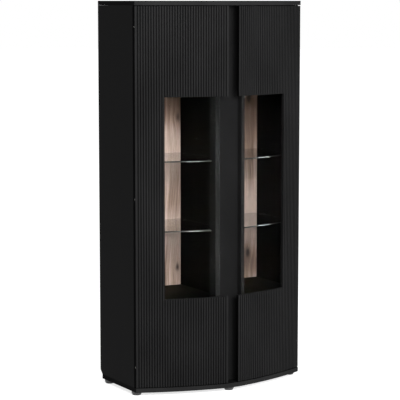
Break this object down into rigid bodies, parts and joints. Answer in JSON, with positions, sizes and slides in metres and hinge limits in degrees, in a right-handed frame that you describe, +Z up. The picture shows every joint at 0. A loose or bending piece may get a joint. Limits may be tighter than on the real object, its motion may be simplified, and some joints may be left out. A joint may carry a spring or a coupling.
{
  "type": "china cabinet",
  "caption": "Tall bow-front china cabinet with ribbed black doors, tall glass windows, a wood-decor back and glass shelves; both doors swing open.",
  "frame": {"origin": "on the floor, at the centre of the cabinet's footprint", "axes": "+Z up, +Y towards the back, -Y towards the bowed front, +X to the right as seen from the front"},
  "size_m": [0.96, 0.528, 1.95],
  "materials": {
    "black_board": "chipboard in a matte black foil with a fine pore",
    "ribbed_front": "moulded board with vertical ribs under a matte black foil",
    "black_hardboard": "thin hardboard, black",
    "oak_decor": "thin board in a knotty oak decor with an upright grain",
    "pane_glass": "clear bent glass",
    "shelf_glass": "clear glass with polished edges",
    "hinge_steel": "nickel-plated pressed steel",
    "pin_steel": "nickel-plated",
    "foot_plastic": "moulded plastic"
  },
  "bodies": {
    "carcass": {"base_board": "black_board", "top_board": "black_board", "side_panel_left": "black_board", "side_panel_right": "black_board", "partition": "black_board", "display_floor_left": "black_board", "display_floor_right": "black_board", "display_ceiling_left": "black_board", "display_ceiling_right": "black_board", "post_face_board": "black_board", "post_wall_left": "black_board", "post_wall_right": "black_board", "rear_rail": "black_board", "back_panel_lower": "black_hardboard", "back_panel_upper": "black_hardboard", "display_back_panel": "oak_decor", "glass_shelf_left_lower": "shelf_glass", "glass_shelf_left_upper": "shelf_glass", "glass_shelf_right_lower": "shelf_glass", "glass_shelf_right_upper": "shelf_glass", "shelf_pin_left_lower_front": "pin_steel", "shelf_pin_left_lower_rear": "pin_steel", "shelf_pin_left_upper_front": "pin_steel", "shelf_pin_left_upper_rear": "pin_steel", "shelf_pin_centre_lower_front": "pin_steel", "shelf_pin_centre_lower_rear": "pin_steel", "shelf_pin_centre_upper_front": "pin_steel", "shelf_pin_centre_upper_rear": "pin_steel", "shelf_pin_right_lower_front": "pin_steel", "shelf_pin_right_lower_rear": "pin_steel", "shelf_pin_right_upper_front": "pin_steel", "shelf_pin_right_upper_rear": "pin_steel", "foot_front_left": "foot_plastic", "foot_front_centre": "foot_plastic", "foot_front_right": "foot_plastic", "foot_rear_left": "foot_plastic", "foot_rear_right": "foot_plastic", "hinge_arm_left_lower": "hinge_steel", "hinge_arm_left_middle": "hinge_steel", "hinge_arm_left_upper": "hinge_steel", "hinge_arm_right_lower": "hinge_steel", "hinge_arm_right_middle": "hinge_steel", "hinge_arm_right_upper": "hinge_steel"},
    "left_door": {"door_panel_left": "ribbed_front", "door_glass_left": "pane_glass", "hinge_cup_left_lower": "hinge_steel", "hinge_cup_left_middle": "hinge_steel", "hinge_cup_left_upper": "hinge_steel", "hinge_pin_left_lower": "hinge_steel", "hinge_pin_left_middle": "hinge_steel", "hinge_pin_left_upper": "hinge_steel"},
    "right_door": {"door_panel_right": "ribbed_front", "door_glass_right": "pane_glass", "hinge_cup_right_lower": "hinge_steel", "hinge_cup_right_middle": "hinge_steel", "hinge_cup_right_upper": "hinge_steel", "hinge_pin_right_lower": "hinge_steel", "hinge_pin_right_middle": "hinge_steel", "hinge_pin_right_upper": "hinge_steel"}
  },
  "joints": [
    {"name": "left_door_hinge", "type": "hinge", "parent": "carcass", "child": "left_door", "pos_m": [-0.47252, -0.11763, 0.985], "axis": [0, 0, -1], "range_deg": [0, 95]},
    {"name": "right_door_hinge", "type": "hinge", "parent": "carcass", "child": "right_door", "pos_m": [0.47252, -0.11763, 0.985], "axis": [0, 0, 1], "range_deg": [0, 95]}
  ]
}
